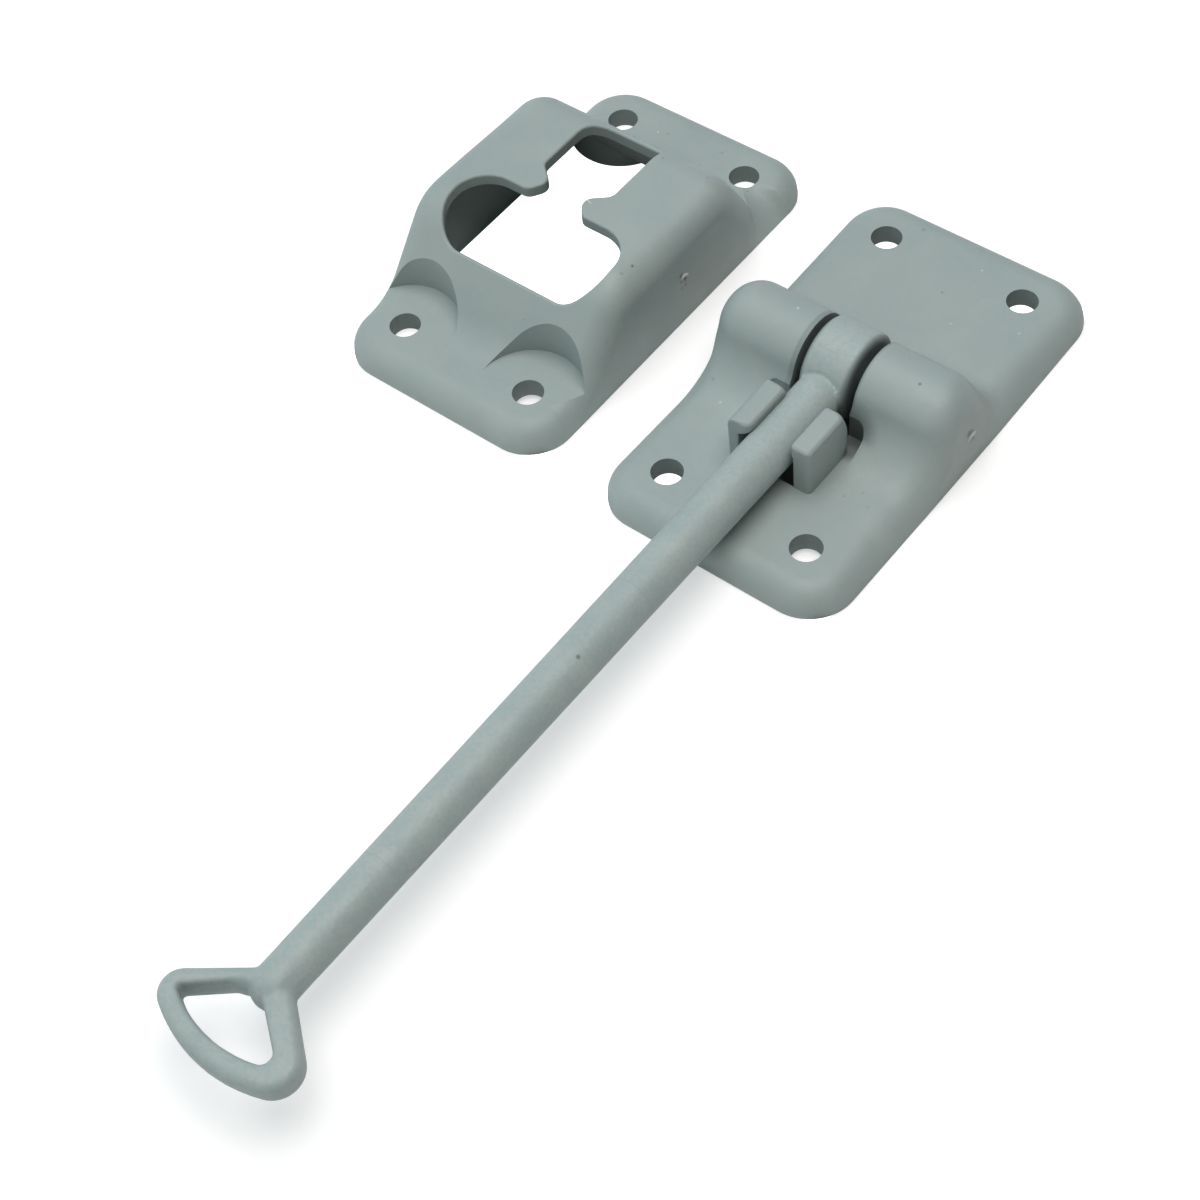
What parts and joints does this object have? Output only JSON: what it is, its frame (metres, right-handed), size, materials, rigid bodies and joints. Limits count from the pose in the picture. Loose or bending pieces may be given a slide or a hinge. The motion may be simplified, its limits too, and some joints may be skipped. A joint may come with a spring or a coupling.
{
  "type": "compartment door catch",
  "caption": "Moulded plastic catch that holds a compartment door open: a keeper plate with a keyhole, and a base whose clip parks a long hinged arm with a loop end.",
  "frame": {"origin": "centre of the holder base's four screw holes, on its mounting face", "axes": "+Z away from the wall, +X along the hinge, the parked arm points to -Y; the keeper lies beside the base at -X with its mounting face in the same plane"},
  "size_m": [0.0996, 0.1877, 0.0192],
  "materials": {
    "plate_plastic": "fine matte, grey-green",
    "arm_plastic": "matte with faint mottling, slightly bluer grey"
  },
  "bodies": {
    "base": {"holder_base": "plate_plastic", "keeper": "plate_plastic"},
    "arm": {"catch_arm": "arm_plastic"}
  },
  "joints": [
    {"name": "arm_hinge", "type": "hinge", "parent": "base", "child": "arm", "pos_m": [0, -0.0009, 0.00975], "axis": [-1, 0, 0], "range_deg": [0, 180]}
  ]
}
